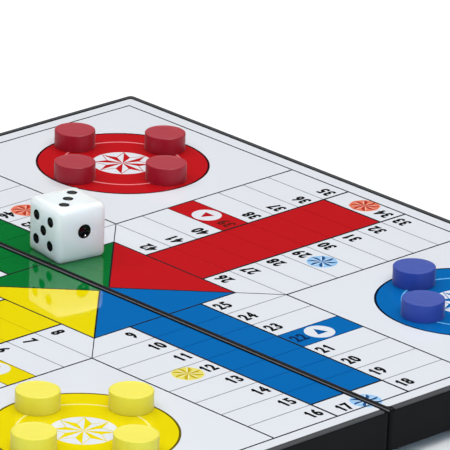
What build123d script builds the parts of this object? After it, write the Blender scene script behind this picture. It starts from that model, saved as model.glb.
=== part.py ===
from build123d import *
from math import cos, radians, sin
import os

# Folding magnetic ludo game. Two shallow black plastic case halves carry the playing
# surface on top and open downwards. They hinge along the fold line, so that the near
# half swings under the far half and the two make a flat box for the pawns and the die.
# X runs along the fold, Y points to the far half and Z is up. The origin is on the
# table, under the middle of the fold line. Sizes are in millimetres.

# Case halves
case_length = 222.0        # along the fold
case_depth = 112.75        # one half, from its fold wall to its outer wall
fold_gap = 0.5             # between the two fold walls when the board lies open
case_height = 11.9         # one half, from its open edge to the top of its rim
side_wall = 2.0
fold_wall = 1.6
web_thickness = 1.6        # the floor of the half, which carries the steel plate
rim_width = 2.0            # rim beside the playing surface
fold_rim_width = 0.9       # the same rim along the fold
corner_radius = 1.8
fold_corner_radius = 1.0
rim_rounding = 0.8
recess_corner = 1.0
partition_thickness = 1.2
partition_spacing = 74.0   # between the two partitions of a half

# Feet: tabs inside the walls, which key the halves together when the case is shut
foot_drop = 3.1            # how far a foot stands below the open edge
foot_width = 8.0
foot_thickness = 3.0
foot_inset = 0.4           # play between a foot and the other half's wall
far_foot_place = 13.0      # from an end of the case to the foot's middle
near_foot_place = 25.0
close_gap = 0.2            # between the two open edges when the case is shut

# Playing surface
plate_thickness = 0.8      # steel sheet that the magnets hold on to
sheet_thickness = 0.5      # printed plastic sheet
rim_lip = 0.3              # how far the rim stands above the printed sheet
plate_play = 0.2
sheet_play = 0.1
frame_margin_x = 4.3       # from the rim to the printed frame line
frame_margin_y = 4.6
nest_size = 70.0           # side of a printed home square

# Fold hinge
hinge_place = 45.0         # from an end of the case to the middle of a hinge
knuckle_radius = 2.4
near_knuckle_length = 10.0
far_knuckle_length = 7.0
knuckle_gap = 0.3          # between knuckles, and between a knuckle and its notch
hinge_pin_diameter = 1.6
pin_inset = 0.2            # from the outermost bearing's face to the pin's end
fixed_pin_play = 0.02      # radial
running_pin_play = 0.06    # radial

# Latch on the far half's outer wall
latch_width = 25.0
latch_plate = 1.4          # thickness
latch_reach = 7.4          # from the pin to the tip
claw_depth = 1.1
claw_height = 1.2
latch_pin_diameter = 1.2
latch_barrel_radius = 1.4
latch_pin_out = 1.6        # from the wall to the pin
latch_pin_up = 2.3         # from the open edge to the pin
latch_play = 0.3           # to the wall, the ears and the guards
claw_play = 0.15           # between the claw and the striker
ear_width = 2.4
striker_height = 1.4
latch_rounding = 0.3

# Pawns
pawn_diameter = 12.0
pawn_height = 5.2
pawn_rounding = 0.4
magnet_diameter = 8.0
magnet_height = 2.5
magnet_play = 0.02         # radial
magnet_depth = 0.2         # from the pawn's base to the magnet

# Die
die_size = 16.0
die_rounding = 1.8
die_turn = -9.7            # degrees about Z
die_x = -27.3
die_fold_distance = 9.65   # from the fold rim to the die's middle
pip_spacing = 7.1          # between the outer pips of a face
pip_diameter = 3.0
pip_depth = 0.7
ace_diameter = 4.2         # the one pip of the face of one is larger
ace_depth = 1.0
ace_aside = 0.5            # it isn't quite in the middle of its face
ace_up = 0.8

# Where each colour's pawns stand: the quarter of the board, and each pawn's bearing in
# degrees and distance from the middle of its home. They were put down by hand.
pawn_places = {
    "red": (-1, 1, [(183.5, 19.6), (94.0, 18.0), (270.5, 19.2), (3.0, 17.4)]),
    "blue": (1, 1, [(184.0, 19.1), (268.0, 16.6), (91.0, 18.6), (357.0, 18.2)]),
    "yellow": (1, -1, [(176.5, 19.2), (100.0, 20.4), (272.0, 18.0), (4.0, 18.6)]),
    "green": (-1, -1, [(181.0, 18.4), (88.0, 18.9), (266.0, 18.3), (358.0, 19.0)]),
}

# The pips of each count, in halves of the pip spacing
pip_patterns = {
    1: [(0, 0)],
    2: [(-1, -1), (1, 1)],
    3: [(-1, 1), (0, 0), (1, -1)],
    4: [(-1, -1), (-1, 1), (1, -1), (1, 1)],
    5: [(-1, -1), (-1, 1), (0, 0), (1, -1), (1, 1)],
    6: [(-1, -1), (-1, 0), (-1, 1), (1, -1), (1, 0), (1, 1)],
}

# Levels above the table
edge_z = foot_drop
rim_top = edge_z + case_height
sheet_top = rim_top - rim_lip
plate_top = sheet_top - sheet_thickness
web_top = plate_top - plate_thickness
web_bottom = web_top - web_thickness
hinge_z = edge_z - close_gap / 2

# Places across and along the fold
inner_y = fold_gap / 2
outer_y = inner_y + case_depth
recess_length = case_length - 2 * rim_width
recess_depth = case_depth - fold_rim_width - rim_width
recess_inner_y = inner_y + fold_rim_width
recess_middle_y = recess_inner_y + recess_depth / 2
nest_x = recess_length / 2 - frame_margin_x - nest_size / 2
nest_y = recess_middle_y + recess_depth / 2 - frame_margin_y - nest_size / 2
die_y = recess_inner_y + die_fold_distance

# Fold hinge
hinge_x = case_length / 2 - hinge_place
hinge_xs = (-hinge_x, hinge_x)
hinge_length = near_knuckle_length + 2 * (far_knuckle_length + knuckle_gap)
far_knuckle_offset = (near_knuckle_length + far_knuckle_length) / 2 + knuckle_gap

# Latch. Its heights are those it has while the board lies open and it stands up
# against the wall; shut, it hangs half a turn further round its pin.
latch_y = outer_y + latch_pin_out
latch_z = edge_z + latch_pin_up
latch_outer = latch_pin_out - claw_depth - latch_play
ear_inner = latch_width / 2 + latch_play
ear_outer = ear_inner + ear_width
ear_reach = latch_pin_out + latch_barrel_radius
claw_face_shut = latch_z - latch_reach + claw_height
striker_top = 2 * hinge_z - claw_face_shut - claw_play

os.makedirs("parts", exist_ok=True)


def save(piece, name):
    """Label a finished piece and write it under the same name."""
    piece.label = name
    export_step(piece, f"parts/{name}.step")


def block(x_span, y_span, z_span, mode=Mode.ADD):
    """Add or cut a block between two values of X, Y and Z."""
    spans = (x_span, y_span, z_span)
    with Locations(tuple((a + b) / 2 for a, b in spans)):
        Box(*[abs(b - a) for a, b in spans], mode=mode)


def rod(centre, radius, length, mode=Mode.ADD):
    """Add or cut a round bar along X."""
    with Locations(Location(centre, (0, 90, 0))):
        Cylinder(radius, length, mode=mode)


def add_shell(side):
    """The moulded form of one half: walls, web, partitions and the recess on top."""
    with BuildSketch(Plane.XY.offset(edge_z)) as outline:
        with Locations((0, side * (inner_y + case_depth / 2))):
            Rectangle(case_length, case_depth)
        corners = outline.vertices().sort_by(Axis.Y, reverse=side < 0)
        fillet(corners[2:], corner_radius)
        corners = outline.vertices().sort_by(Axis.Y, reverse=side < 0)
        fillet(corners[:2], fold_corner_radius)
    shell = extrude(outline.sketch, amount=case_height)
    fillet(shell.faces().sort_by(Axis.Z)[-1].edges(), rim_rounding)
    room_x = case_length / 2 - side_wall
    room_y = (side * (inner_y + fold_wall), side * (outer_y - side_wall))
    room_z = (edge_z, web_bottom)
    block((-room_x, room_x), room_y, room_z, Mode.SUBTRACT)
    for x in (-partition_spacing / 2, partition_spacing / 2):
        faces = (x - partition_thickness / 2, x + partition_thickness / 2)
        block(faces, room_y, room_z)
    with BuildSketch(Plane.XY.offset(web_top)) as recess:
        with Locations((0, side * recess_middle_y)):
            Rectangle(recess_length, recess_depth)
        fillet(recess.vertices(), recess_corner)
    extrude(recess.sketch, amount=rim_top - web_top, mode=Mode.SUBTRACT)


def add_feet(side, place):
    """Four feet, each grown out of the inside of a wall and standing below it."""
    from_middle = case_length / 2 - place
    for x in (-from_middle, from_middle):
        x_span = (x - foot_width / 2, x + foot_width / 2)
        for wall, inward in ((inner_y + fold_wall, 1), (outer_y - side_wall, -1)):
            outside = wall + inward * foot_inset
            inside = outside + inward * foot_thickness
            block(x_span, (side * wall, side * inside), (edge_z, web_bottom))
            block(x_span, (side * outside, side * inside), (0, edge_z))


def add_knuckles(xs, length, other_xs, other_length, pin_play):
    """This half's knuckles, the notches for the other half's and the pin's bore."""
    for x in other_xs:
        room = other_length + 2 * knuckle_gap
        rod((x, 0, hinge_z), knuckle_radius + knuckle_gap, room, Mode.SUBTRACT)
    for x in xs:
        rod((x, 0, hinge_z), knuckle_radius, length)
    for x in hinge_xs:
        bore = hinge_pin_diameter / 2 + pin_play
        rod((x, 0, hinge_z), bore, hinge_length, Mode.SUBTRACT)


near_knuckle_xs = hinge_xs
far_knuckle_xs = [x + d for x in hinge_xs for d in (-far_knuckle_offset, far_knuckle_offset)]

with BuildPart() as case_half_far:
    add_shell(1)
    add_feet(1, far_foot_place)
    add_knuckles(
        far_knuckle_xs, far_knuckle_length, near_knuckle_xs, near_knuckle_length, fixed_pin_play
    )
    # Two rounded ears hold the latch's pin
    for side in (-1, 1):
        ear_x = side * (ear_inner + ear_outer) / 2
        ear_z = (latch_z - latch_barrel_radius, latch_z + latch_barrel_radius)
        block((side * ear_inner, side * ear_outer), (outer_y, latch_y), ear_z)
        rod((ear_x, latch_y, latch_z), latch_barrel_radius, ear_width)
    pin_bore = latch_pin_diameter / 2 + fixed_pin_play
    rod((0, latch_y, latch_z), pin_bore, 2 * ear_outer, Mode.SUBTRACT)
save(case_half_far.part, "case_half_far")

with BuildPart() as case_half_near:
    add_shell(-1)
    add_feet(-1, near_foot_place)
    add_knuckles(
        near_knuckle_xs, near_knuckle_length, far_knuckle_xs, far_knuckle_length, running_pin_play
    )
    # The latch's claw hooks over the striker, and two guards stand beside the latch
    striker_x = latch_width / 2 - latch_play
    striker_z = (striker_top - striker_height, striker_top)
    block((-striker_x, striker_x), (-outer_y, -outer_y - claw_depth), striker_z)
    for side in (-1, 1):
        guard_x = (side * ear_inner, side * ear_outer)
        guard_z = (edge_z + latch_play, striker_top)
        block(guard_x, (-outer_y, -outer_y - ear_reach), guard_z)
save(case_half_near.part, "case_half_near")

# The latch stands up against the far wall while the board lies open. Its barrel turns
# on the pin, and its claw points away from the wall until it has swung down.
with BuildPart() as latch:
    plate_y = (latch_y + latch_outer - latch_plate, latch_y + latch_outer)
    claw_z = (latch_z + latch_reach - claw_height, latch_z + latch_reach)
    across = (-latch_width / 2, latch_width / 2)
    rod((0, latch_y, latch_z), latch_barrel_radius, latch_width)
    block(across, plate_y, (latch_z, latch_z + latch_reach))
    block(across, (plate_y[1], plate_y[1] + claw_depth), claw_z)
    fillet(latch.edges().filter_by(Axis.X).group_by(Axis.Z)[-1], latch_rounding)
    pin_bore = latch_pin_diameter / 2 + running_pin_play
    rod((0, latch_y, latch_z), pin_bore, latch_width, Mode.SUBTRACT)
save(latch.part, "latch")

with BuildPart() as latch_pin:
    rod((0, latch_y, latch_z), latch_pin_diameter / 2, 2 * (ear_outer - pin_inset))
save(latch_pin.part, "latch_pin")

for name, x in zip(("left", "right"), hinge_xs):
    with BuildPart() as hinge_pin:
        rod((x, 0, hinge_z), hinge_pin_diameter / 2, hinge_length - 2 * pin_inset)
    save(hinge_pin.part, f"hinge_pin_{name}")


def layer(side, base_z, thickness, play):
    """A flat sheet that fills the recess of one half, less its play."""
    with BuildPart() as sheet:
        with BuildSketch(Plane.XY.offset(base_z)) as outline:
            with Locations((0, side * recess_middle_y)):
                Rectangle(recess_length - 2 * play, recess_depth - 2 * play)
            fillet(outline.vertices(), recess_corner)
        extrude(outline.sketch, amount=thickness)
    return sheet.part


for name, side in (("far", 1), ("near", -1)):
    plate = layer(side, web_top, plate_thickness, plate_play)
    save(plate, f"steel_plate_{name}")
    printed = layer(side, plate_top, sheet_thickness, sheet_play)
    save(printed, f"printed_sheet_{name}")


def pawn_and_magnet(x, y):
    """A pawn disc and the magnet pressed into the pocket in its base."""
    base = Plane(origin=(x, y, sheet_top))
    pocket_height = magnet_depth + magnet_height
    with BuildPart() as pawn:
        with BuildSketch(base) as disc:
            Circle(pawn_diameter / 2)
        extrude(disc.sketch, amount=pawn_height)
        fillet(pawn.edges().filter_by(GeomType.CIRCLE), pawn_rounding)
        with BuildSketch(base) as pocket:
            Circle(magnet_diameter / 2 + magnet_play)
        extrude(pocket.sketch, amount=pocket_height, mode=Mode.SUBTRACT)
    with BuildPart() as magnet:
        with BuildSketch(base.offset(magnet_depth)) as disc:
            Circle(magnet_diameter / 2)
        extrude(disc.sketch, amount=magnet_height)
    return pawn.part, magnet.part


for colour, (x_side, y_side, places) in pawn_places.items():
    for number, (bearing, distance) in enumerate(places, 1):
        x = x_side * nest_x + distance * cos(radians(bearing))
        y = y_side * nest_y + distance * sin(radians(bearing))
        pawn, magnet = pawn_and_magnet(x, y)
        save(pawn, f"pawn_{colour}_{number}")
        save(magnet, f"magnet_{colour}_{number}")

# The die's faces in its own frame: the count, the outward normal and two directions
# across the face. Opposite faces add up to seven.
die_faces = (
    (1, Vector(1, 0, 0), Vector(0, 1, 0), Vector(0, 0, 1)),
    (6, Vector(-1, 0, 0), Vector(0, 1, 0), Vector(0, 0, 1)),
    (5, Vector(0, -1, 0), Vector(1, 0, 0), Vector(0, 0, 1)),
    (2, Vector(0, 1, 0), Vector(1, 0, 0), Vector(0, 0, 1)),
    (3, Vector(0, 0, 1), Vector(1, 0, 0), Vector(0, 1, 0)),
    (4, Vector(0, 0, -1), Vector(1, 0, 0), Vector(0, 1, 0)),
)
turn = radians(die_turn)
die_plane = Plane(
    origin=(die_x, die_y, sheet_top + die_size / 2), x_dir=(cos(turn), sin(turn), 0), z_dir=(0, 0, 1)
)

with BuildPart(die_plane) as die:
    Box(die_size, die_size, die_size)
    fillet(die.edges(), die_rounding)
    for count, normal, along, up in die_faces:
        diameter, depth = (ace_diameter, ace_depth) if count == 1 else (pip_diameter, pip_depth)
        # A shallow bowl: the part of a ball that dips below the face
        ball = (diameter**2 / 4 + depth**2) / (2 * depth)
        out = die_size / 2 + ball - depth
        for a, b in pip_patterns[count]:
            step = pip_spacing / 2
            spot = normal * out + along * (a * step) + up * (b * step)
            if count == 1:
                spot += along * ace_aside + up * ace_up
            with Locations(Plane(spot, x_dir=along, z_dir=normal).location):
                Sphere(ball, mode=Mode.SUBTRACT)
save(die.part, "die")
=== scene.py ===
# %% [markdown]
# # A folding magnetic ludo game
# The real thing is a shallow black plastic case in two hinged halves. Its top carries a
# glossy printed board backed with sheet steel, and the pawns hold on to it with magnets.
# The CAD model already has every part at its true size and place, and it comes in as a
# fixed frame. This lesson gives each part its finish and makes what CAD leaves out: the
# print, the soft moulded edges and the paint in the die's pips. Everything is in metres.

from math import cos, pi, radians, sin, tau

import bmesh
import bpy
from mathutils import Matrix, Vector


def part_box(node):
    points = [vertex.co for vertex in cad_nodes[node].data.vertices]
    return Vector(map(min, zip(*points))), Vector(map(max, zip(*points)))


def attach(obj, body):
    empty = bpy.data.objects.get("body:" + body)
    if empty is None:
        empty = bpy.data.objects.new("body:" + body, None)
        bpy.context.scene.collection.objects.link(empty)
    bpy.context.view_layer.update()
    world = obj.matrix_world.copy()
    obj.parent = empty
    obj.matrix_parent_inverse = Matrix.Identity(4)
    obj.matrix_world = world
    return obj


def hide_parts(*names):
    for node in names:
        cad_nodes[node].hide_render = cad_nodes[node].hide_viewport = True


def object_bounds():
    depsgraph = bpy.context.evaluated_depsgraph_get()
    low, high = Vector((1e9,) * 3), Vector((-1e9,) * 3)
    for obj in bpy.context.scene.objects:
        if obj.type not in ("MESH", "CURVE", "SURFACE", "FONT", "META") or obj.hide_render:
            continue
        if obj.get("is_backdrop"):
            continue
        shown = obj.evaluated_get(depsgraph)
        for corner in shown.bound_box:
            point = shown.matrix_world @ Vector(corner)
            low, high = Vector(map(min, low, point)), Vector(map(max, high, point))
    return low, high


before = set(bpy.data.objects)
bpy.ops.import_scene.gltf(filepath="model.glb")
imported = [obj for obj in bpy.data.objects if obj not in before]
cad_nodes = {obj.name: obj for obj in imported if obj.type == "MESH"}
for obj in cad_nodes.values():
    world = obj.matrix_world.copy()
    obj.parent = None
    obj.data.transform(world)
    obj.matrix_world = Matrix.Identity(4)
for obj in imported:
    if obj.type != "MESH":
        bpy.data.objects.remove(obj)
cad_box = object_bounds()
mm = 0.001

# %% [markdown]
# ## Colours
# Colours read off a photograph are sRGB values from 0 to 255, as the light made them
# look. A shader wants linear values of the surface itself. So each colour is made linear
# and then divided by how brightly the board is lit, which is one number for the scene.

# %% Turn seen colours into surface colours
board_light = 1.13
whitest = 0.95
paper_white = (236, 238, 243)


def linear(level):
    level /= 255
    return level / 12.92 if level <= 0.04045 else ((level + 0.055) / 1.055) ** 2.4


def surface(red, green, blue):
    return tuple(min(linear(level) / board_light, whitest) for level in (red, green, blue)) + (1.0,)


print("paper is", [round(value, 3) for value in surface(*paper_white)])

# %% [markdown]
# ## Small tools for shader nodes
# Every finish here is procedural: noise worked out in the object's own coordinates. That
# needs no image, has no seams, and stays put when a part moves. Three helpers keep the
# node code short: feed fills a socket, add_node adds a node and calculate does a sum.

# %% Helpers for nodes
def feed(tree, socket, value):
    """Links value to the socket if it is another socket, and otherwise types it in."""
    if isinstance(value, bpy.types.NodeSocket):
        tree.links.new(value, socket)
    else:
        socket.default_value = value


def add_node(tree, kind, settings=None, **inputs):
    """Adds a node; an underscore in an input's name stands for a space."""
    node = tree.nodes.new(kind)
    for name, value in (settings or {}).items():
        setattr(node, name, value)
    for name, value in inputs.items():
        feed(tree, node.inputs[name.replace("_", " ")], value)
    return node


def calculate(tree, operation, *values):
    node = add_node(tree, "ShaderNodeMath", {"operation": operation})
    for socket, value in zip(node.inputs, values):
        feed(tree, socket, value)
    return node.outputs["Value"]


# %% [markdown]
# ## Shared effects as node groups
# Black case, coloured pawns, white die and printed board share some effects: a fine
# moulded grain, finger marks and rubbed edges. Each is built once as a node group with
# named inputs, then placed in every material that needs it with its own values. A group
# gives out only heights and masks. The shader itself stays in the material.

# %% A helper that starts a group
def start_group(name, inputs, outputs):
    group = bpy.data.node_groups.new(name, "ShaderNodeTree")
    for label, value in inputs.items():
        socket = group.interface.new_socket(label, in_out="INPUT", socket_type="NodeSocketFloat")
        socket.default_value = value
    for label in outputs:
        group.interface.new_socket(label, in_out="OUTPUT", socket_type="NodeSocketFloat")
    given = group.nodes.new("NodeGroupInput").outputs
    result = group.nodes.new("NodeGroupOutput").inputs
    return group, given, result


def place_group(tree, group, **inputs):
    node = add_node(tree, "ShaderNodeGroup", {"node_tree": group}, **inputs)
    return node.outputs


# %% [markdown]
# A noise texture's Scale counts features per metre, which is hard to picture. These
# groups take a Size in millimetres instead and turn it over inside. Moulded grain is a
# fine height, and a mottle many times broader for uneven colour.

# %% Moulded grain: a fine height and a broad mottle
per_metre = 1000.0
mottle_breadth = 40.0


def noise_of_size(tree, size_mm, detail, roughness):
    scale = calculate(tree, "DIVIDE", per_metre, size_mm)
    place = tree.nodes.new("ShaderNodeTexCoord").outputs["Object"]
    noise = add_node(tree, "ShaderNodeTexNoise", Vector=place, Scale=scale, Detail=detail,
                     Roughness=roughness)
    return noise.outputs["Fac"]


grain_group, given, result = start_group("Moulded grain", {"Size": 0.3}, ["Height", "Mottle"])
fine_height = noise_of_size(grain_group, given["Size"], detail=3.0, roughness=0.6)
feed(grain_group, result["Height"], fine_height)
broad_size = calculate(grain_group, "MULTIPLY", given["Size"], mottle_breadth)
feed(grain_group, result["Mottle"], noise_of_size(grain_group, broad_size, detail=4.0, roughness=0.55))
print("made", grain_group.name)

# %% [markdown]
# Fingers leave soft patches that are a little less glossy. Noise stays near its middle
# value, so only the stretch between the two levels below is used, spread from 0 to 1.

# %% Finger marks
clean_below = 0.42
marked_above = 0.68

marks_group, given, result = start_group("Finger marks", {"Size": 14.0, "Amount": 0.06}, ["Roughness"])
patches = noise_of_size(marks_group, given["Size"], detail=3.0, roughness=0.62)
spread = add_node(marks_group, "ShaderNodeMapRange", Value=patches, From_Min=clean_below,
                  From_Max=marked_above)
added = calculate(marks_group, "MULTIPLY", spread.outputs["Result"], given["Amount"])
feed(marks_group, result["Roughness"], added)
print("made", marks_group.name)

# %% [markdown]
# Black plastic comes out lighter along its corners, where handling has rubbed it, and on
# the pawns the same mask paints a highlight along the rim. The Bevel node gives the normal
# that the surface would have if its edges were rounder.
# Where that differs from the true normal there is an edge, and noise breaks it up.

# %% A mask that follows the corners, for rubbed edges and painted highlights
patch_contrast = 1.8

edge_group, given, result = start_group(
    "Rubbed edges and rim highlight", {"Radius": 0.4, "Amount": 4.0, "Patch Size": 3.0}, ["Mask"])
radius = calculate(edge_group, "MULTIPLY", given["Radius"], mm)
rounded = add_node(edge_group, "ShaderNodeBevel", {"samples": 6}, Radius=radius)
facing = edge_group.nodes.new("ShaderNodeNewGeometry").outputs["Normal"]
agreement = add_node(edge_group, "ShaderNodeVectorMath", {"operation": "DOT_PRODUCT"})
feed(edge_group, agreement.inputs[0], rounded.outputs["Normal"])
feed(edge_group, agreement.inputs[1], facing)
difference = calculate(edge_group, "SUBTRACT", 1.0, agreement.outputs["Value"])
stronger = calculate(edge_group, "MULTIPLY", difference, given["Amount"])
noise = noise_of_size(edge_group, given["Patch Size"], detail=4.0, roughness=0.6)
patches = calculate(edge_group, "MULTIPLY", noise, patch_contrast)
broken = calculate(edge_group, "MULTIPLY", stronger, patches)
feed(edge_group, result["Mask"], calculate(edge_group, "MINIMUM", broken, 1.0))
print("made", edge_group.name)

# %% [markdown]
# Sheet steel and drawn wire carry fine lines along the way they were pulled, and turned
# moulds leave level rings. Squeezing the coordinates draws round noise out into such
# streaks, by the size given for each axis in millimetres.

# %% Streaks, drawn out along the axes with a large size
streak_group, given, result = start_group("Streaks", {"X": 12.0, "Y": 0.08, "Z": 0.08}, ["Height"])
stretch = add_node(streak_group, "ShaderNodeCombineXYZ")
for axis in "XYZ":
    feed(streak_group, stretch.inputs[axis], calculate(streak_group, "DIVIDE", per_metre, given[axis]))
squeezed = add_node(streak_group, "ShaderNodeVectorMath", {"operation": "MULTIPLY"})
feed(streak_group, squeezed.inputs[0], streak_group.nodes.new("ShaderNodeTexCoord").outputs["Object"])
feed(streak_group, squeezed.inputs[1], stretch.outputs["Vector"])
streaks = add_node(streak_group, "ShaderNodeTexNoise", Vector=squeezed.outputs["Vector"],
                   Scale=1.0, Detail=3.0)
feed(streak_group, result["Height"], streaks.outputs["Fac"])
print("made", streak_group.name)

# %% [markdown]
# The board's face is a clear laminate over the print. It is nearly a mirror, but it was
# rolled on, so it is faintly wavy, and reflections of the pawns wobble in it.

# %% Laminate: broad waves, tiny pits and finger marks
pit_size = 0.5
pit_share = 0.02
clean_roughness = 0.035

laminate_group, given, result = start_group(
    "Laminate", {"Wave Size": 9.0, "Smear": 0.05}, ["Height", "Roughness"])
waves = noise_of_size(laminate_group, given["Wave Size"], detail=1.0, roughness=0.4)
pits = noise_of_size(laminate_group, pit_size, detail=2.0, roughness=0.5)
shallow = calculate(laminate_group, "MULTIPLY", pits, pit_share)
feed(laminate_group, result["Height"], calculate(laminate_group, "ADD", waves, shallow))
smears = place_group(laminate_group, marks_group, Size=22.0, Amount=given["Smear"])
smeared = calculate(laminate_group, "ADD", smears["Roughness"], clean_roughness)
feed(laminate_group, result["Roughness"], smeared)
print("made", laminate_group.name)

# %% [markdown]
# ## Tools for materials and pieces
# A material always starts from one Principled shader. Bump turns a height into a normal;
# its Distance says how high the height's full range is, so it can be given in
# millimetres. Every piece that is made here rides on a CAD body.

# %% Helpers for materials and pieces
def start_material(name, colour, gloss=0.5):
    material = bpy.data.materials.new(name)
    material.use_nodes = True
    tree = material.node_tree
    shader = tree.nodes["Principled BSDF"]
    feed(tree, shader.inputs["Base Color"], colour)
    shader.inputs["Specular IOR Level"].default_value = gloss
    return material, tree, shader


def add_bump(tree, shader, height, depth_mm):
    bump = add_node(tree, "ShaderNodeBump", Height=height)
    bump.inputs["Strength"].default_value = 1.0
    bump.inputs["Distance"].default_value = depth_mm * mm
    feed(tree, shader.inputs["Normal"], bump.outputs["Normal"])


def smudge(tree, shader, size_mm, smear, roughness):
    """A roughness that finger marks of a size raise in patches."""
    marks = place_group(tree, marks_group, Size=size_mm, Amount=smear)
    feed(tree, shader.inputs["Roughness"], calculate(tree, "ADD", marks["Roughness"], roughness))


def blend_colours(tree, mask, first, second):
    mix = add_node(tree, "ShaderNodeMix", {"data_type": "RGBA"})
    feed(tree, mix.inputs["Factor"], mask)
    feed(tree, mix.inputs["A"], first)
    feed(tree, mix.inputs["B"], second)
    return mix.outputs["Result"]


def add_object(name, data):
    added = bpy.data.objects.new(name, data)
    bpy.context.scene.collection.objects.link(added)
    return added


def evaluated_mesh(shape):
    """What an object's curve or modifiers give, as a mesh of its own."""
    bpy.context.view_layer.update()
    return bpy.data.meshes.new_from_object(shape.evaluated_get(bpy.context.evaluated_depsgraph_get()))


def make_piece(name, solid, materials, body):
    mesh = bpy.data.meshes.new(name)
    solid.to_mesh(mesh)
    solid.free()
    for material in materials:
        mesh.materials.append(material)
    piece = add_object(name, mesh)
    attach(piece, body)
    return piece


def dress(material, *nodes):
    for node in nodes:
        cad_nodes[node].data.materials.clear()
        cad_nodes[node].data.materials.append(material)


# %% [markdown]
# ## The black case and its latch
# Both halves and the latch are moulded in black plastic with a fine spark-eroded grain.
# Their CAD shapes are right, down to the rounded rim, so they stay and only get a
# finish: nearly black, a touch lighter where the mottle is and along rubbed corners.

# %% Black moulded plastic
clouding = 0.18


def grainy_black(name, colour, worn_colour, gloss, roughness, smear, grain_mm, grain_depth_mm):
    material, tree, shader = start_material(name, colour, gloss)
    grain = place_group(tree, grain_group, Size=grain_mm)
    edges = place_group(tree, edge_group, Radius=0.35, Amount=2.0)
    clouded = calculate(tree, "MULTIPLY", grain["Mottle"], clouding)
    wear = calculate(tree, "MAXIMUM", clouded, edges["Mask"])
    feed(tree, shader.inputs["Base Color"], blend_colours(tree, wear, colour, worn_colour))
    smudge(tree, shader, size_mm=16.0, smear=smear, roughness=roughness)
    add_bump(tree, shader, grain["Height"], grain_depth_mm)
    return material


case_black = grainy_black(
    "case_black", (0.005, 0.0052, 0.006, 1), worn_colour=(0.022, 0.022, 0.024, 1), gloss=0.04,
    roughness=0.12, smear=0.05, grain_mm=0.30, grain_depth_mm=0.003)
dress(case_black, "case_half_far", "case_half_near", "latch")
print("case and latch are", case_black.name)

# %% [markdown]
# Two paler places are painted on the case. Along the fold, the corners get a painted
# highlight: a light grey line where the rounded edge would catch a lamp. The flat top of
# the outer rim gets a painted sheen: a dark grey, as the sky would show in it. Both
# follow the shape, so masks find them by place: by the distance from the fold, the depth
# below the rim's top and, for the flat top, the way the surface faces. Each test gives 1
# or 0, so multiplying tests asks for all of them at once.

# %% Painted highlight at the fold and painted sheen on the rim tops
rim_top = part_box("case_half_far")[1].z
highlight_reach = 0.36
highlight_drop = 0.7
highlight_grey = (0.25, 0.23, 0.24, 1)
fold_rim_reach = 2.0
top_sheen_drop = 0.4
top_sheen_tilt = 0.5
top_sheen_grey = (0.066, 0.067, 0.070, 1)


def all_of(tree, *tests):
    mask = 1.0
    for operation, value, limit in tests:
        mask = calculate(tree, "MULTIPLY", calculate(tree, operation, value, limit), mask)
    return mask


tree = case_black.node_tree
coordinates = tree.nodes.new("ShaderNodeTexCoord").outputs
place = add_node(tree, "ShaderNodeSeparateXYZ", Vector=coordinates["Object"]).outputs
facing = add_node(tree, "ShaderNodeSeparateXYZ", Vector=coordinates["Normal"]).outputs
from_fold = calculate(tree, "ABSOLUTE", place["Y"])
below_top = calculate(tree, "SUBTRACT", rim_top, place["Z"])
# Painted highlight: a light line along the corners at the fold, where the rounded rim would catch a lamp.
highlighted = all_of(tree, ("LESS_THAN", from_fold, highlight_reach * mm), ("LESS_THAN", below_top, highlight_drop * mm))
# Painted sheen: the upward-facing flat top of the outer rim is lighter, as the sky would show in it.
top_sheen = all_of(tree, ("GREATER_THAN", from_fold, fold_rim_reach * mm),
                 ("LESS_THAN", below_top, top_sheen_drop * mm), ("GREATER_THAN", facing["Z"], top_sheen_tilt))
base = tree.nodes["Principled BSDF"].inputs["Base Color"]
for mask, grey in ((highlighted, highlight_grey), (top_sheen, top_sheen_grey)):
    feed(tree, base, blend_colours(tree, mask, base.links[0].from_socket, grey))
print("corners are rubbed up to", highlight_reach, "mm from the fold line")

# %% [markdown]
# ## Steel plates and pins
# The plates under the print are tinned sheet, and the hinge and latch turn on drawn
# wire. Both are metal with streaks along X, the way the CAD lays them, so one function
# makes both with a different width of streak.

# %% Sheet steel and drawn wire
drawn_out = 120
streak_shade = 0.7


def shaded(colour, share, lift=0.0):
    """The same colour, darkened to a share of itself and lifted evenly."""
    return tuple(value * share + lift for value in colour[:3]) + (1.0,)


def streaked_steel(name, colour, width_mm, roughness):
    material, tree, shader = start_material(name, colour)
    shader.inputs["Metallic"].default_value = 1.0
    streaks = place_group(tree, streak_group, X=width_mm * drawn_out, Y=width_mm, Z=width_mm)
    streaked = blend_colours(tree, streaks["Height"], shaded(colour, streak_shade), colour)
    feed(tree, shader.inputs["Base Color"], streaked)
    smudge(tree, shader, size_mm=6.0, smear=0.10, roughness=roughness)
    add_bump(tree, shader, streaks["Height"], depth_mm=0.004)
    return material


tinned_sheet = streaked_steel("tinned_sheet", (0.66, 0.67, 0.68, 1), width_mm=0.12, roughness=0.28)
drawn_wire = streaked_steel("drawn_wire", (0.60, 0.60, 0.62, 1), width_mm=0.03, roughness=0.22)
dress(tinned_sheet, "steel_plate_far", "steel_plate_near")
dress(drawn_wire, "hinge_pin_left", "hinge_pin_right", "latch_pin")
print("steel:", tinned_sheet.name, drawn_wire.name)

# %% [markdown]
# ## Inks under the laminate
# Each ink is one flat colour, so it goes straight on the shader, and only gloss and
# bump come from nodes. Thin films of ink as real geometry keep every printed edge crisp
# at any distance, which a painted mask or a baked map wouldn't. Each player's colour has
# eight tones: two for fields and their dark edges, two for lines, one for the pale ring
# of a home, and three for a rosette's disc, its blades and the glints on them.

# %% A material for each ink
def ink(name, red, green, blue):
    material, tree, shader = start_material(name, surface(red, green, blue))
    laminate = place_group(tree, laminate_group, Wave_Size=9.0, Smear=0.05)
    feed(tree, shader.inputs["Roughness"], laminate["Roughness"])
    add_bump(tree, shader, laminate["Height"], depth_mm=0.02)
    return material


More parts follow.
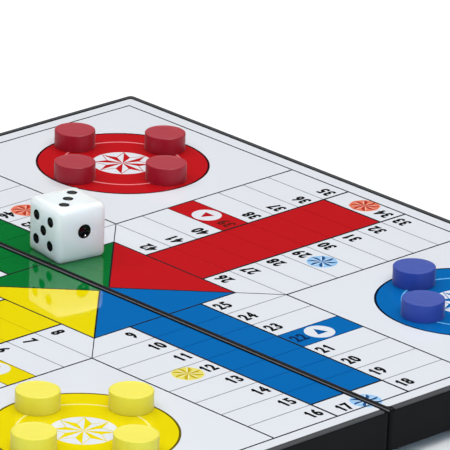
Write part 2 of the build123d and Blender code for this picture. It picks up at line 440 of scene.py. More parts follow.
plain_tones = {
    "paper": paper_white, "line": (34, 36, 40), "divider": (146, 149, 153), "number": (22, 22, 24),
}
colours = {
    "red": {
        "full": (200, 22, 29), "dark": (60, 5, 15), "mark": (108, 28, 20), "rule": (189, 20, 27),
        "pale": (255, 150, 155), "disc": (240, 128, 100), "blade": (190, 54, 34), "glint": (252, 196, 178),
    },
    "blue": {
        "full": (0, 108, 184), "dark": (0, 20, 50), "mark": (6, 48, 100), "rule": (0, 90, 162),
        "pale": (120, 200, 255), "disc": (160, 206, 246), "blade": (34, 88, 144), "glint": (222, 238, 252),
    },
    "yellow": {
        "full": (243, 222, 0), "dark": (110, 96, 10), "mark": (124, 102, 12), "rule": (214, 192, 0),
        "pale": (255, 244, 150), "disc": (242, 228, 104), "blade": (204, 178, 30), "glint": (250, 244, 196),
    },
    "green": {
        "full": (0, 117, 47), "dark": (2, 36, 16), "mark": (4, 60, 28), "rule": (0, 102, 42),
        "pale": (120, 205, 140), "disc": (134, 206, 146), "blade": (26, 110, 56), "glint": (212, 240, 216),
    },
}
inks = []
ink_place = {}
for tone, seen in plain_tones.items():
    ink_place[tone] = len(inks)
    inks.append(ink(f"ink_{tone}", *seen))
for colour, tones in colours.items():
    for tone, seen in tones.items():
        ink_place[colour, tone] = len(inks)
        inks.append(ink(f"ink_{colour}_{tone}", *seen))
dress(inks[ink_place["paper"]], "printed_sheet_far", "printed_sheet_near")
print(len(inks), "inks")

# %% [markdown]
# ## The plan of the print
# The pattern is one square, drawn as if there were no fold and then moved apart by a
# small margin on each half. Places in it are (p, q) in millimetres: p along the fold, q
# away from it. Turning the far half by half a turn gives the near half, with red for
# yellow and blue for green. So one drawing does for both.

# %% Measures of the pattern
fold_margin = 1.69
cell = 10.0
arm_cells = 8
frame_line = 104.67
home_line = frame_line - (arm_cells - 1) * cell
arm_line = frame_line - arm_cells * cell
column_line = 11.53
column_end = frame_line - cell
home_middle = (frame_line + home_line) / 2
arm_middle = (column_line + home_line) / 2
end_middle = frame_line - cell / 2
start_cell = 3
start_row = arm_line + (start_cell + 0.5) * cell

sheet_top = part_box("printed_sheet_far")[1].z
sheet_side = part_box("printed_sheet_far")[0].y / mm - fold_margin
opposite = {"red": "yellow", "yellow": "red", "blue": "green", "green": "blue"}
halves = {"far": 1, "near": -1}
print("home squares are", round(frame_line - home_line, 2), "mm, cells", cell, "mm")

# %% [markdown]
# ## Films of ink
# A film is an outline with a top and a bottom, sunk a little into the sheet. Films that
# cross each other lie on steps a few thousandths of a millimetre apart, because two
# faces in the same place would fight over which is seen.

# %% Draw films into a layer
film_step = 0.004
level_sunk = -0.010
level_field = 0.014
level_disc = 0.026
level_ring = 0.034
level_star = 0.046
level_line = 0.060


class Layer:
    """Films of ink on one half of the board, gathered into one piece."""

    def __init__(self, half):
        self.half = half
        self.solid = bmesh.new()

    def place(self, p, q, level):
        turn = halves[self.half]
        return Vector((turn * p, turn * (q + fold_margin), 0)) * mm + Vector((0, 0, sheet_top + level * mm))

    def ink(self, colour, tone="full"):
        """The place of an ink; a player's colour is that of the far half, swapped on the near one."""
        if colour in ink_place:
            return ink_place[colour]
        return ink_place[colour if self.half == "far" else opposite[colour], tone]

    def film(self, outline, level, ink_number):
        """outline runs anticlockwise, seen from above."""
        top = [self.solid.verts.new(self.place(p, q, level)) for p, q in outline]
        low = [self.solid.verts.new(self.place(p, q, level_sunk)) for p, q in outline]
        faces = [self.solid.faces.new(top), self.solid.faces.new(low[::-1])]
        for i in range(len(outline)):
            j = (i + 1) % len(outline)
            faces.append(self.solid.faces.new((top[j], top[i], low[i], low[j])))
        for face in faces:
            face.material_index = ink_number

    def line(self, start, end, width, level, ink_number):
        start, end = Vector(start), Vector(end)
        along = (end - start).normalized() * width / 2
        side = Vector((-along.y, along.x))
        self.film([start - along - side, end + along - side, end + along + side, start - along + side],
                  level, ink_number)

    def finish(self, name):
        body = f"{self.half}_half"
        return make_piece(f"{name}_{self.half}", self.solid, inks, body)


print("films reach", level_line, "mm above the sheet")

# %% [markdown]
# ## Fields of colour
# Four triangles meet in the middle of the board. From each a home column runs out, and
# beside it is the coloured cell where that player starts. Fields that meet the fold run
# on to the sheet's edge, as a printer's bleed does.

# %% Triangles, home columns and start cells
def rectangle(p0, q0, p1, q1):
    return [(p0, q0), (p1, q0), (p1, q1), (p0, q1)]


fold = sheet_side
for half in halves:
    layer = Layer(half)
    red, blue, green = (layer.ink(colour) for colour in ("red", "blue", "green"))
    layer.film([(0, 0), (arm_line, arm_line), (-arm_line, arm_line)], level_field, red)
    layer.film([(0, fold), (arm_line, fold), (arm_line, arm_line), (0, 0)], level_field, blue)
    layer.film([(0, fold), (0, 0), (-arm_line, arm_line), (-arm_line, fold)], level_field, green)
    layer.film(rectangle(-column_line, arm_line, column_line, column_end), level_field, red)
    layer.film(rectangle(arm_line, fold, column_end, column_line), level_field, blue)
    layer.film(rectangle(-column_end, fold, -arm_line, column_line), level_field, green)
    low, high = start_row - cell / 2, start_row + cell / 2
    layer.film(rectangle(-home_line, low, -column_line, high), level_field, red)
    layer.film(rectangle(low, column_line, high, home_line), level_field, blue)
    print(layer.finish("print_fields").name)

# %% [markdown]
# ## Homes
# Each home is a coloured disc with a dark edge, a pale ring and, in a white circle, a
# compass star. Its eight points are each split down the middle, and one side is inked.

# %% Discs, rings and compass stars
disc_radius = 25.4
pale_ring_radius = 17.4
star_circle_radius = 9.1
star_tip = 0.97 * star_circle_radius
star_valley = 0.56 * star_circle_radius
star_points = 8
star_line_width = 0.24
edge_width = 0.65
pale_ring_width = 0.6


def on_circle(middle, radius, angle):
    return middle[0] + radius * cos(angle), middle[1] + radius * sin(angle)


def circle(middle, radius, count=96):
    return [on_circle(middle, radius, tau * i / count) for i in range(count)]


def draw_ring(layer, middle, radius, width, level, ink_number, count=96):
    for i in range(count):
        a, b = tau * i / count, tau * (i + 1) / count
        layer.film([on_circle(middle, radius, a), on_circle(middle, radius + width, a),
                    on_circle(middle, radius + width, b), on_circle(middle, radius, b)], level, ink_number)


def draw_home(layer, middle, colour):
    full, dark, pale = (layer.ink(colour, tone) for tone in ("full", "dark", "pale"))
    layer.film(circle(middle, disc_radius), level_field, full)
    draw_ring(layer, middle, disc_radius - edge_width, edge_width, level_disc, dark)
    draw_ring(layer, middle, pale_ring_radius, pale_ring_width, level_disc, pale)
    layer.film(circle(middle, star_circle_radius), level_ring, layer.ink("paper"))
    half_step = tau / star_points / 2
    for i in range(star_points):
        angle = tau * i / star_points
        tip = on_circle(middle, star_tip, angle)
        right = on_circle(middle, star_valley, angle - half_step)
        left = on_circle(middle, star_valley, angle + half_step)
        layer.film([middle, right, tip], level_star, full)
        layer.line(tip, left, star_line_width, level_star + film_step * (1 + i % 2), full)


for half in halves:
    layer = Layer(half)
    draw_home(layer, (-home_middle, home_middle), "red")
    draw_home(layer, (home_middle, home_middle), "blue")
    print(layer.finish("print_homes").name)

# %% [markdown]
# ## Safe cells and start arrows
# A safe cell carries a small rosette: eight curved blades that meet in its middle, each
# with a glint along its other side. A start cell carries a white spot with a triangle
# that points the way the pawns go. Two rosettes lie across the fold, so each half has
# only its part: the outline is cut at the sheet's edge.

# %% Rosettes, also cut by the fold
rosette_radius = 4.65
scallop_depth = 0.06 * rosette_radius
inner_disc_radius = 0.93 * rosette_radius
blades = 8
blade_reach = 0.95 * rosette_radius
blade_bulge = 0.19 * rosette_radius
glint_reach = 0.86 * rosette_radius
glint_bulge = -0.08 * rosette_radius
glint_turn = 0.05
blade_skew = 1.4
flat_side = 0.12


def cut_at_fold(outline):
    """The part of an outline that lies on this half's sheet."""
    kept = []
    for i, (p, q) in enumerate(outline):
        p_last, q_last = outline[i - 1]
        if (q >= sheet_side) != (q_last >= sheet_side):
            share = (sheet_side - q_last) / (q - q_last)
            kept.append((p_last + share * (p - p_last), sheet_side))
        if q >= sheet_side:
            kept.append((p, q))
    return kept


def blade(middle, angle, reach, bulge):
    """A pointed leaf from the middle outwards, nearly straight on one side and bulging on the other."""
    ahead = Vector((cos(angle), sin(angle)))
    side = Vector((ahead.y, -ahead.x)) * bulge
    steps = [step / 8 for step in range(9)]
    full = [Vector(middle) + reach * t * ahead + sin(pi * t ** blade_skew) * side for t in steps]
    flat = [Vector(middle) + reach * t * ahead - flat_side * sin(pi * t) * side for t in steps[1:-1]]
    outline = full + flat[::-1]
    return outline if bulge > 0 else outline[::-1]


def scalloped(middle, count=96):
    """A circle with a dent between every two blades."""
    angles = [tau * i / count for i in range(count)]
    dents = [scallop_depth * (1 - abs(cos(blades / 2 * angle))) for angle in angles]
    return [on_circle(middle, rosette_radius - dent, angle) for dent, angle in zip(dents, angles)]


def draw_rosette(layer, middle, colour):
    shapes = [
        (scalloped(middle), level_disc, "glint"),
        (circle(middle, inner_disc_radius), level_ring, "disc"),
    ]
    for i in range(blades):
        angle = tau * i / blades
        shapes.append((blade(middle, angle, blade_reach, blade_bulge), level_star, "blade"))
        glint = blade(middle, angle + glint_turn, glint_reach, glint_bulge)
        shapes.append((glint, level_star - film_step, "glint"))
    for outline, level, tone in shapes:
        outline = cut_at_fold(outline)
        if len(outline) > 2:
            layer.film(outline, level, layer.ink(colour, tone))


print("rosettes are", 2 * rosette_radius, "mm across")


# %% [markdown]
# The printer didn't centre every mark in its cell, and the eye notices where a mark lies
# in its cell sooner than its outline. So each mark is listed with the middle of its cell
# and how far off it the print is, in millimetres.

# %% Start arrows, and all the marks of a half
start_radius = 4.3
arrow_half_base = 1.8
arrow_ahead = 2.4
arrow_behind = 1.35

arrows = (
    ("red", (-arm_middle, start_row), (-0.5, 0), (0, -1)),
    ("blue", (start_row, arm_middle), (0, -0.3), (-1, 0)),
)
rosettes = (
    ("blue", (arm_middle, start_row), (0, 0.2)),
    ("red", (-start_row, arm_middle), (0.97, -1.0)),
    ("red", (0, end_middle), (-0.6, 0.7)),
    ("blue", (end_middle, -fold_margin), (2.3, 0)),
    ("green", (-end_middle, -fold_margin), (-2.3, 0)),
)


def moved(middle, off):
    return middle[0] + off[0], middle[1] + off[1]


def draw_start(layer, middle, ahead, colour):
    middle, ahead = Vector(middle), Vector(ahead)
    side = Vector((-ahead.y, ahead.x)) * arrow_half_base
    layer.film(circle(middle, start_radius, count=64), level_disc, layer.ink("paper"))
    tip, base = middle + ahead * arrow_ahead, middle - ahead * arrow_behind
    layer.film([tip, base + side, base - side], level_star, layer.ink(colour, "rule"))


for half in halves:
    layer = Layer(half)
    for colour, middle, off, ahead in arrows:
        draw_start(layer, moved(middle, off), ahead, colour)
    for colour, middle, off in rosettes:
        draw_rosette(layer, moved(middle, off), colour)
    print(layer.finish("print_marks").name)

# %% [markdown]
# ## Lines
# Dark lines frame the board, the homes, the arms and the columns. Thinner grey ones
# divide the cells, and in the coloured columns the dividers are a darker tone of the
# ink. Lines along p, along q and slanting ones lie on three steps, so none fight.

# %% Rule the lines
line_width = 0.46
column_line_width = 0.60
divider_width = 0.26
slanting_start = 0.3

lines_away_from_fold = (
    (frame_line, 0, frame_line, line_width),
    (home_line, home_line, frame_line, line_width),
    (column_line, arm_line, frame_line, column_line_width),
    (arm_line, 0, arm_line, line_width),
    (column_end, 0, column_line, column_line_width),
)
lines_across_a_side = (
    (home_line, home_line, line_width),
    (column_line, arm_line, column_line_width),
)
lines_across_the_half = (
    (arm_line, arm_line, line_width),
    (column_end, column_line, column_line_width),
    (frame_line, frame_line, line_width),
)


def divide(layer, start, end, ink_number):
    layer.line(start, end, divider_width, level_line, ink_number)


for half in halves:
    layer = Layer(half)
    dark, grey = layer.ink("line"), layer.ink("divider")
    across, along, slanting = (level_line + film_step * step for step in (1, 2, 3))
    for side, column_colour in ((-1, "green"), (1, "blue")):
        for p, low, high, width in lines_away_from_fold:
            layer.line((side * p, low), (side * p, high), width, along, dark)
        for q, inner_end, width in lines_across_a_side:
            layer.line((side * inner_end, q), (side * frame_line, q), width, across, dark)
        corner = (side * arm_line, arm_line)
        layer.line((side * slanting_start, slanting_start), corner, line_width, slanting, dark)
        layer.line(corner, (side * home_line, home_line), divider_width, slanting, dark)
        for row in range(1, arm_cells):
            place = arm_line + row * cell
            beside_start = row in (start_cell, start_cell + 1)
            inked = layer.ink("red", "mark") if beside_start and side < 0 else grey
            divide(layer, (side * column_line, place), (side * home_line, place), inked)
            inked = layer.ink("blue", "mark") if beside_start and side > 0 else grey
            divide(layer, (side * place, column_line), (side * place, home_line), inked)
            if row < arm_cells - 1:
                tone = layer.ink(column_colour, "rule")
                divide(layer, (side * place, 0), (side * place, column_line), tone)
    for q, end, width in lines_across_the_half:
        layer.line((-end, q), (end, q), width, across, dark)
    for row in range(1, arm_cells - 1):
        place = arm_line + row * cell
        divide(layer, (-column_line, place), (column_line, place), layer.ink("red", "rule"))
    print(layer.finish("print_lines").name)

# %% [markdown]
# ## Numbers
# The 68 cells are numbered in a bold, narrow face. Blender's own font is neither, so
# each digit is turned into a curve, squeezed sideways, stretched upwards, fattened with
# the curve's Offset and pressed flat again. The stretch makes upright strokes come out
# heavier than level ones, as in a real narrow bold. The font's 1 is a bare bar, so that
# one is drawn here with its flag.

# %% Make the ten digits once
digit_height = 4.4
digit_step = 2.5
squeeze = 0.72
stretch_up = 1.3
fatten = 0.23
font_digit_height = 0.70
weld = 0.001
one_outline = [(0.29, 0), (0.29, 0.69), (0.22, 0.69), (0.10, 0.55), (0.10, 0.50), (0.19, 0.53), (0.19, 0)]


def flat_digit(digit):
    """The points and face loops of one digit, in millimetres."""
    text = bpy.data.curves.new("digit", "FONT")
    text.body = digit
    holder = add_object("digit", text)
    depsgraph = bpy.context.evaluated_depsgraph_get()
    curve = holder.evaluated_get(depsgraph).to_curve(depsgraph).copy()
    if digit == "1":
        curve.splines.clear()
        bar = curve.splines.new("POLY")
        bar.points.add(len(one_outline) - 1)
        for point, (x, y) in zip(bar.points, one_outline):
            point.co = (x, y, 0, 1)
        bar.use_cyclic_u = True
    size = (digit_height - 2 * fatten / stretch_up) / font_digit_height
    curve.transform(Matrix.Diagonal((size * squeeze, size * stretch_up, 1, 1)))
    curve.dimensions = "2D"
    curve.fill_mode = "BOTH"
    curve.resolution_u = 4
    curve.offset = fatten
    drawn = add_object("digit_outline", curve)
    mesh = evaluated_mesh(drawn)
    mesh.transform(Matrix.Diagonal((1, 1 / stretch_up, 1, 1)))
    for temporary in (holder, drawn):
        bpy.data.objects.remove(temporary)
    flat = bmesh.new()
    flat.from_mesh(mesh)
    bmesh.ops.remove_doubles(flat, verts=flat.verts, dist=weld)
    flat.verts.index_update()
    points = [vertex.co.copy() for vertex in flat.verts]
    loops = [[vertex.index for vertex in face.verts] for face in flat.faces]
    flat.free()
    return points, loops


digits = {digit: flat_digit(digit) for digit in "0123456789"}
for digit, (points, loops) in digits.items():
    width = max(point.x for point in points) - min(point.x for point in points)
    height = max(point.y for point in points) - min(point.y for point in points)
    print(digit, "is", round(width, 2), "by", round(height, 2), "mm,", len(loops), "faces")


# %% [markdown]
# A digit lies in its cell turned so that the player at that side can read it: reading
# is the way the number runs, and up is the way its head points. Each flat digit becomes
# a film too: its faces above and below, and a side wall along each outer edge, which is
# an edge that no neighbouring face uses the other way round.

# %% Place one number
def draw_number(layer, number, middle, reading, up, ink_number):
    middle, reading, up = Vector(middle), Vector(reading), Vector(up)
    text = str(number)
    for i, digit in enumerate(text):
        points, loops = digits[digit]
        left, right = min(point.x for point in points), max(point.x for point in points)
        shift = (i - (len(text) - 1) / 2) * digit_step - (left + right) / 2
        spots = [middle + reading * (point.x + shift) + up * (point.y - digit_height / 2) for point in points]
        top = [layer.solid.verts.new(layer.place(*spot, level_line)) for spot in spots]
        low = [layer.solid.verts.new(layer.place(*spot, level_sunk)) for spot in spots]
        edges = {edge for loop in loops for edge in zip(loop, loop[1:] + loop[:1])}
        faces = [[top[v] for v in loop] for loop in loops] + [[low[v] for v in loop[::-1]] for loop in loops]
        faces += [(top[b], top[a], low[a], low[b]) for a, b in edges if (b, a) not in edges]
        for corners in faces:
            layer.solid.faces.new(corners).material_index = ink_number


print("one number is up to", round(2 * digit_step, 1), "mm wide")

# %% [markdown]
# The numbers run round the board. On the far half they go up one side of the far arm
# and down the other, and along the near side of both side arms. The near half has the
# same places with 34 more. Each of the four rows is listed by its first number, nearest
# the middle, and the step to the next one, and a start cell's number is in its colour.
# An arm's end cell has its number beside the rosette: 34 on the far arm, 51 on the left.

# %% Number both halves
cells_round = 68
number_out = 15.3
number_rise = 0.5
far_end_number_aside = 7.6
side_end_number_aside = 5.9
side_end_number_out = 1.5


def wrapped(number):
    return (number - 1) % cells_round + 1


for half in halves:
    layer = Layer(half)
    more = 0 if half == "far" else cells_round // 2
    black = layer.ink("number")
    for row in range(arm_cells):
        place = arm_line + (row + 0.5) * cell - number_rise
        for first, step, middle, reading, up, start in (
            (42, -1, (-number_out, place), (-1, 0), (0, -1), "red"),
            (26, 1, (number_out, place), (-1, 0), (0, -1), None),
            (25, -1, (place, number_out), (0, 1), (-1, 0), "blue"),
            (43, 1, (-place, number_out), (0, -1), (1, 0), None),
        ):
            used = layer.ink(start, "mark") if start and row == start_cell else black
            draw_number(layer, wrapped(first + step * row + more), middle, reading, up, used)
    far_end = (far_end_number_aside, end_middle)
    side_end = (-end_middle - side_end_number_out, side_end_number_aside)
    draw_number(layer, wrapped(34 + more), far_end, (-1, 0), (0, -1), black)
    draw_number(layer, wrapped(51 + more), side_end, (0, -1), (1, 0), black)
    print(layer.finish("print_numbers").name)

# %% [markdown]
# ## Pawns
# A pawn is a thick disc in satin plastic with a magnet pressed into its base. It is a
# turned shape, so it is made like one on a lathe: half of its outline is spun round the
# middle. The top is sunk by a tenth of a millimetre inside a narrow lip, which catches
# the light as a thin bright line.

# %% A lathe
def arc(middle, radius, start, end, steps=6):
    return [on_circle(middle, radius, radians(start + (end - start) * i / steps)) for i in range(steps + 1)]


def turned(profile, steps=96):
    """Spins (radius, height) points in millimetres about Z, from the top's middle to the base's."""
    solid = bmesh.new()
    points = [solid.verts.new((radius * mm, 0, height * mm)) for radius, height in profile]
    for first, second in zip(points, points[1:]):
        solid.edges.new((first, second))
    bmesh.ops.spin(solid, geom=solid.verts[:] + solid.edges[:], axis=(0, 0, 1), cent=(0, 0, 0),
                   angle=tau, steps=steps, use_merge=True)
    bmesh.ops.remove_doubles(solid, verts=solid.verts, dist=weld * mm)
    bmesh.ops.recalc_face_normals(solid, faces=solid.faces)
    return solid


def smooth(piece, sharp_angle=35):
    piece.data.shade_smooth()
    piece.data.set_sharp_from_angle(angle=radians(sharp_angle))


print("a quarter round has", len(arc((0, 0), 1, 90, 0)), "points")

# %% [markdown]
# The plastic is coloured through, with a fine grain that scatters the light a little at
# low angles. That is why the tops look paler than the sides in the photograph. The Sheen
# inputs of the shader do this. Faint level rings from the mould run round the sides.

# %% Satin plastic in four colours
pawn_colours = {
    "red": (0.38, 0.004, 0.02, 1), "blue": (0.032, 0.068, 0.36, 1),
    "yellow": (0.84, 0.74, 0.064, 1), "green": (0.004, 0.19, 0.03, 1),
}
pawn_gloss = {"red": 0.34, "blue": 0.22, "yellow": 0.34, "green": 0.34}
ring_height = 2.0


def satin_plastic(name, colour, gloss):
    material, tree, shader = start_material(name, colour, gloss)
    grain = place_group(tree, grain_group, Size=0.22)
    rings = place_group(tree, streak_group, X=30.0, Y=30.0, Z=0.5)
    # The edge mask paints a highlight: a lighter tone along the rim, where the rounded edge would catch the
    # light.
    edges = place_group(tree, edge_group, Radius=0.3, Amount=1.5)
    mottled = blend_colours(tree, grain["Mottle"], shaded(colour, 0.90), colour)
    rim_highlight = blend_colours(tree, edges["Mask"], mottled, shaded(colour, 0.85, lift=0.12))
    feed(tree, shader.inputs["Base Color"], rim_highlight)
    smudge(tree, shader, size_mm=7.0, smear=0.10, roughness=0.40)
    shader.inputs["Sheen Weight"].default_value = 0.12
    shader.inputs["Sheen Roughness"].default_value = 0.35
    rings_height = calculate(tree, "MULTIPLY", rings["Height"], ring_height)
    add_bump(tree, shader, calculate(tree, "ADD", grain["Height"], rings_height), depth_mm=0.006)
    return material


pawn_materials = {colour: satin_plastic(f"pawn_{colour}", base, pawn_gloss[colour])
                  for colour, base in pawn_colours.items()}
print("pawn colours:", *pawn_materials)

# %% [markdown]
# Radius and height come from the CAD pawn's box, and the pocket in the base from its
# magnet's. Two points close together on each side of the lip keep the smooth shading
# from running across the flats.

# %% Turn the sixteen pawns
pawn_rounding = 0.3
base_rounding = 0.25
lip = 0.55
dish = 0.10
dish_slope = 1.5 * dish
flat_edge = 0.1
pocket_play = 0.02
pocket_chamfer = 0.15

for colour, material in pawn_materials.items():
    for number in range(1, 5):
        low, high = (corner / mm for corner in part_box(f"pawn_{colour}_{number}"))
        magnet_low, magnet_high = (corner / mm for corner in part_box(f"magnet_{colour}_{number}"))
        radius, height = (high.x - low.x) / 2, high.z - low.z
        pocket = (magnet_high.x - magnet_low.x) / 2 + pocket_play
        roof = magnet_high.z - low.z
        floor_edge = radius - pawn_rounding - lip
        lip_edge = floor_edge + dish_slope
        profile = [(0, height - dish), (floor_edge - flat_edge, height - dish), (floor_edge, height - dish)]
        profile += [(lip_edge, height), (lip_edge + flat_edge, height)]
        profile += arc((radius - pawn_rounding, height - pawn_rounding), pawn_rounding, 90, 0)
        profile += arc((radius - base_rounding, base_rounding), base_rounding, 0, -90, steps=4)
        profile += [(pocket + pocket_chamfer, 0), (pocket, pocket_chamfer), (pocket, roof), (0, roof)]
        pawn = make_piece(f"turned_pawn_{colour}_{number}", turned(profile), [material],
                          f"pawn_{colour}_{number}")
        foot = Vector(((low.x + high.x) / 2, (low.y + high.y) / 2, low.z)) * mm
        pawn.data.transform(Matrix.Translation(foot))
        smooth(pawn)
        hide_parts(f"pawn_{colour}_{number}")
print("pawns are", round(2 * radius, 2), "by", round(height, 2), "mm")

# %% [markdown]
# ## Magnets
# Seen from below, each pawn holds a disc of sintered ferrite: dark grey, dull and a
# little grainy, with pale rubbed rims. The CAD discs are right, so only the finish is
# new. It has the same make-up as the black plastic, with other values.

# %% Sintered ferrite
ferrite = grainy_black(
    "ferrite", (0.045, 0.045, 0.048, 1), worn_colour=(0.16, 0.16, 0.165, 1), gloss=0.35,
    roughness=0.52, smear=0.12, grain_mm=0.12, grain_depth_mm=0.02)
magnets = [name for name in cad_nodes if name.startswith("magnet_")]
dress(ferrite, *magnets)
print(len(magnets), "magnets")

# %% [markdown]
# ## The die
# A white cube with well-rounded edges, polished, with bowls drilled for the pips and
# filled with glossy black paint. It starts as a cube whose edges are bevelled in several
# steps. One ball per pip is then cut out of it with a Boolean modifier, which hands the
# balls' black material on to the bowls that they leave. White plastic lets some light
# in, so the shader's subsurface part is on: it softens the shade on the die's sides.

# %% Polished white and glossy black
cloudy_white = (0.82, 0.88, 0.95, 1)
clear_white = (0.86, 0.91, 0.97, 1)
paint_roughness = 0.1

die_white, tree, shader = start_material("die_white", clear_white)
cloud = place_group(tree, grain_group, Size=0.25)
clouded = blend_colours(tree, cloud["Mottle"], cloudy_white, clear_white)
feed(tree, shader.inputs["Base Color"], clouded)
smudge(tree, shader, size_mm=8.0, smear=0.08, roughness=0.2)
shader.inputs["Subsurface Weight"].default_value = 1.0
shader.inputs["Subsurface Scale"].default_value = 9 * mm
shader.inputs["Subsurface Radius"].default_value = (1.0, 1.1, 1.25)
add_bump(tree, shader, cloud["Height"], depth_mm=0.002)

pip_black, tree, shader = start_material("pip_black", (0.004, 0.004, 0.005, 1), gloss=0.25)
brushed = place_group(tree, grain_group, Size=0.5)
feed(tree, shader.inputs["Roughness"], calculate(tree, "MULTIPLY", brushed["Mottle"], paint_roughness))
add_bump(tree, shader, brushed["Height"], depth_mm=0.003)
print(die_white.name, pip_black.name)

# %% [markdown]
# Opposite faces of a die add up to seven. Each face here has its count, the way out of
# it, and two directions across it, and each count has its pattern in half steps. On this
# die the single pip is larger than the others and a little off the middle of its face.

# %% Where the pips are
die_turn = radians(-9.7)
die_rounding = 1.8
bevel_steps = 8
pip_half_step = 3.55
pip_width = 3.0
pip_depth = 0.7
ace_width = 4.2
ace_depth = 1.0
ace_aside = 0.5
ace_up = 0.8
patterns = {
    1: [(0, 0)],
    2: [(-1, -1), (1, 1)],
    3: [(-1, 1), (0, 0), (1, -1)],
    4: [(-1, -1), (-1, 1), (1, -1), (1, 1)],
    5: [(-1, -1), (-1, 1), (0, 0), (1, -1), (1, 1)],
    6: [(-1, -1), (-1, 0), (-1, 1), (1, -1), (1, 0), (1, 1)],
}
die_faces = (
    (1, (1, 0, 0), (0, 1, 0), (0, 0, 1)), (6, (-1, 0, 0), (0, 1, 0), (0, 0, 1)),
    (5, (0, -1, 0), (1, 0, 0), (0, 0, 1)), (2, (0, 1, 0), (1, 0, 0), (0, 0, 1)),
    (3, (0, 0, 1), (1, 0, 0), (0, 1, 0)), (4, (0, 0, -1), (1, 0, 0), (0, 1, 0)),
)
die_low, die_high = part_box("die")
die_size = die_high.z - die_low.z
die_middle = (die_low + die_high) / 2
print("the die is", round(die_size / mm, 2), "mm")


# %% [markdown]
# A bowl of a given width and depth is the cap of a larger ball, whose radius follows
# from the two. The ball's poles point out of the face, so that its rings meet the flat
# face evenly.

# %% Make the balls that cut the pips
def pip_balls():
    balls = bmesh.new()
    for count, outward, across, upward in die_faces:
        width, depth = (ace_width, ace_depth) if count == 1 else (pip_width, pip_depth)
        ball = (width ** 2 / 4 + depth ** 2) / (2 * depth)
        for a, b in patterns[count]:
            spot = Vector(outward) * (die_size / mm / 2 + ball - depth)
            spot += (Vector(across) * a + Vector(upward) * b) * pip_half_step
            if count == 1:
                spot += Vector(across) * ace_aside + Vector(upward) * ace_up
            lying = Vector(outward).to_track_quat("Z", "Y").to_matrix().to_4x4()
            bmesh.ops.create_uvsphere(balls, u_segments=40, v_segments=48, radius=ball * mm,
                                      matrix=Matrix.Translation(spot * mm) @ lying)
    return balls


# %% Bevel the cube and cut the pips
solid = bmesh.new()
bmesh.ops.create_cube(solid, size=die_size)
bmesh.ops.bevel(solid, geom=solid.edges[:], offset=die_rounding * mm, segments=bevel_steps,
                profile=0.5, affect="EDGES", clamp_overlap=True)
die = make_piece("polished_die", solid, [die_white, pip_black], "die")
cutters = bpy.data.meshes.new("pip_cutters")
balls = pip_balls()
balls.to_mesh(cutters)
balls.free()
cutters.materials.append(pip_black)
cutter = add_object("pip_cutters", cutters)
cut = die.modifiers.new("pips", "BOOLEAN")
cut.operation = "DIFFERENCE"
cut.object = cutter
cut.solver = "EXACT"
cut.material_mode = "TRANSFER"
cut_mesh = evaluated_mesh(die)
die.modifiers.clear()
die.data = cut_mesh
bpy.data.objects.remove(cutter)
cut_mesh.transform(Matrix.Translation(die_middle) @ Matrix.Rotation(die_turn, 4, "Z"))
smooth(die, sharp_angle=30)
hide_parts("die")
print("die:", len(cut_mesh.polygons), "faces,", [material.name for material in cut_mesh.materials])

# %% [markdown]
# ## Floor, light and camera
# The game stands on a plain white table, which lies a hair below the feet so that the
# two never share a face. The table is far wider than the view, so no edge of it shows.

# %% The table
table_reach = 15
table_height = -0.2 * mm
table_roughness = 0.4

table_mesh = bpy.data.meshes.new("table_top")
corners = [(x * table_reach, y * table_reach, table_height) for x, y in ((-1, -1), (1, -1), (1, 1), (-1, 1))]
table_mesh.from_pydata(corners, [], [(0, 1, 2, 3)])
table = add_object("table_top", table_mesh)
table_white, tree, shader = start_material("table_white", (0.95, 0.95, 0.95, 1), gloss=0.2)
table_grain = place_group(tree, grain_group, Size=0.8)
feed(tree, shader.inputs["Roughness"], calculate(tree, "ADD", table_grain["Mottle"], table_roughness))
table_mesh.materials.append(table_white)
table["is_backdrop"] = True
print("table top", 2 * table_reach, "m wide")

# %% [markdown]
# A mirror-like face shows whatever stands beyond it, so the sky is dark near the
# horizon, to keep the printed colours deep, and bright overhead, to light everything
# evenly. It is a gradient by height, between two angles above the horizon. The camera
# itself sees plain white beyond the table's far edge.

# %% The sky
sky_bright = 2.0
sky_dark = 0.03
dark_up_to = radians(36)
bright_from = radians(58)

world = bpy.data.worlds.new("studio")
world.use_nodes = True
bpy.context.scene.world = world
tree = world.node_tree
tree.nodes.clear()
direction = add_node(tree, "ShaderNodeSeparateXYZ")
feed(tree, direction.inputs["Vector"], tree.nodes.new("ShaderNodeTexCoord").outputs["Generated"])
rise = add_node(tree, "ShaderNodeMapRange", {"interpolation_type": "SMOOTHSTEP"},
                Value=direction.outputs["Z"], From_Min=sin(dark_up_to), From_Max=sin(bright_from),
                To_Min=sky_dark, To_Max=sky_bright)
lit = add_node(tree, "ShaderNodeBackground", Color=(1.0, 1.0, 1.0, 1), Strength=rise.outputs["Result"])
seen = add_node(tree, "ShaderNodeBackground", Color=(1.0, 1.0, 1.0, 1), Strength=1.0)
choose = add_node(tree, "ShaderNodeMixShader")
feed(tree, choose.inputs["Fac"], tree.nodes.new("ShaderNodeLightPath").outputs["Is Camera Ray"])
feed(tree, choose.inputs[1], lit.outputs["Background"])
feed(tree, choose.inputs[2], seen.outputs["Background"])
output = tree.nodes.new("ShaderNodeOutputWorld")
feed(tree, output.inputs["Surface"], choose.outputs["Shader"])
print("sky from", sky_dark, "to", sky_bright)

# %% [markdown]
# Four square lamps shape the light. The smallest only makes sparks: it shows in glossy
# faces and casts no other light. The fill by the camera does the opposite, as if it
# shone through a polarising filter, or the board would mirror it and look blank from
# behind.

# %% Four softboxes
def way_to(bearing, elevation):
    """The way from the board to something at a bearing, where 0 is the near side and 90 the right."""
    bearing, elevation = radians(bearing), radians(elevation)
    return Vector((sin(bearing) * cos(elevation), -cos(bearing) * cos(elevation), sin(elevation)))


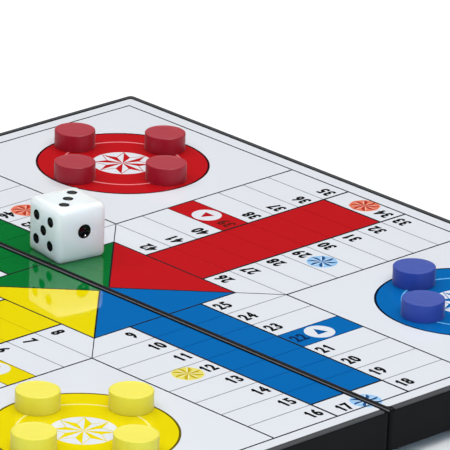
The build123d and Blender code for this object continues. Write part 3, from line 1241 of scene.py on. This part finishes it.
def softbox(name, bearing, elevation, distance, size, strength, tint=(1, 1, 1)):
    """A square lamp that shines at the board."""
    lamp = bpy.data.lights.new(name, "AREA")
    lamp.shape = "SQUARE"
    lamp.size = size
    lamp.energy = strength * pi * size ** 2
    lamp.color = tint
    holder = add_object(name, lamp)
    away = way_to(bearing, elevation)
    holder.location = away * distance
    holder.rotation_mode = "QUATERNION"
    holder.rotation_quaternion = away.to_track_quat("Z", "Y")
    holder.visible_camera = False
    print(name, "gives", round(lamp.energy, 2), "W")
    return holder


fill = softbox("fill_by_the_camera", bearing=50, elevation=18, distance=1.6, size=0.9, strength=4.8,
               tint=(0.62, 0.82, 1))
fill.visible_glossy = False
softbox("key_from_the_left", bearing=298, elevation=45, distance=1.3, size=0.35, strength=3.5)
softbox("sheen_from_behind", bearing=225, elevation=43, distance=2.0, size=1.0, strength=2.2)
spark = softbox("spark_from_the_right", bearing=85, elevation=42, distance=1.5, size=0.22, strength=150.0)
spark.visible_diffuse = False

# %% [markdown]
# The camera is where the photograph's was: from the near right corner, 21 degrees up,
# through a long lens, and rolled by two degrees. Its place is given by how far the middle
# of the board lies ahead of it and to its side.

# %% The camera
camera_bearing = 45.55365
camera_elevation = 21.04241
camera_roll = radians(2.05746)
board_ahead = 1590.78
board_right = -33.25
board_below = 17.68
focal_length = 461.93
sensor_width = 36

back = way_to(camera_bearing, camera_elevation)
level_right = (-back).cross(Vector((0, 0, 1))).normalized()
level_down = (-back).cross(level_right)
right = cos(camera_roll) * level_right - sin(camera_roll) * level_down
down = sin(camera_roll) * level_right + cos(camera_roll) * level_down
lens = bpy.data.cameras.new("camera")
lens.lens = focal_length
lens.sensor_width = sensor_width
camera = add_object("camera", lens)
turned_to = Matrix((right, -down, back)).transposed().to_4x4()
spot = Vector((0, 0, sheet_top)) + (back * board_ahead - right * board_right - down * board_below) * mm
camera.matrix_world = Matrix.Translation(spot) @ turned_to
bpy.context.scene.camera = camera
bpy.context.scene.view_settings.view_transform = "Standard"
print("camera at", [round(value, 3) for value in spot])

# %% [markdown]
# ## The size of the dressed model
# The dressed model must stay inside the CAD model's box. The size of both boxes is printed
# in millimetres.

# %% Print the size of both boxes
sizes = {
    "cad": [list(corner) for corner in cad_box],
    "visual": [list(corner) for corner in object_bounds()],
}
for name, (low, high) in sizes.items():
    print(name, [round((b - a) / mm, 2) for a, b in zip(low, high)], "mm")
